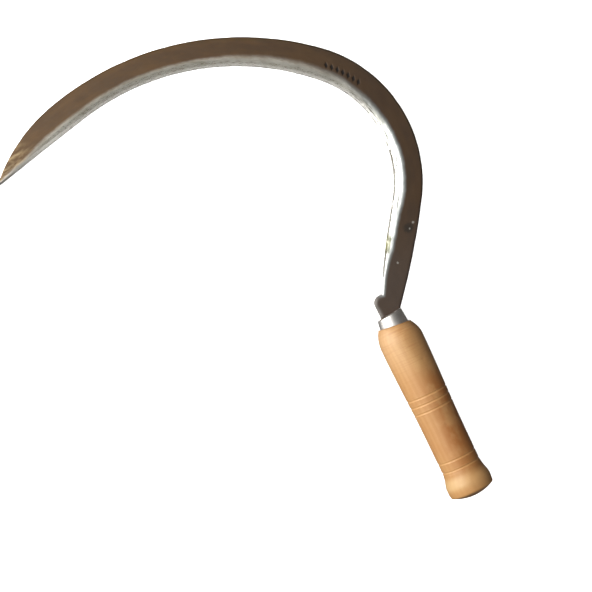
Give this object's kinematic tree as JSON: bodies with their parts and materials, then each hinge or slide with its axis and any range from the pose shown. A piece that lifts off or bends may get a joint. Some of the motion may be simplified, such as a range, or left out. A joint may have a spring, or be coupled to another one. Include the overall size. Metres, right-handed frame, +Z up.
{
  "type": "hand sickle",
  "caption": "Crescent-bladed hand sickle with a ground inner edge, a steel ferrule and a turned wooden handle, for cutting grass and grain by hand.",
  "frame": {"origin": "on the bench, under the middle of the object's outline seen from above", "axes": "+Y along the handle from the butt towards the blade, +Z up from the bench with the ground bevel uppermost, and +X to the right, away from the point"},
  "size_m": [0.2923, 0.3936, 0.04],
  "materials": {
    "blade": "patinated forged steel with a bright ground bevel",
    "ferrule": "worn bright steel",
    "handle": "worn clear lacquer on turned hardwood",
    "tang_washer": "plain steel"
  },
  "bodies": {
    "root": {"blade": "blade", "ferrule": "ferrule", "handle": "handle", "tang_washer": "tang_washer"}
  },
  "joints": []
}
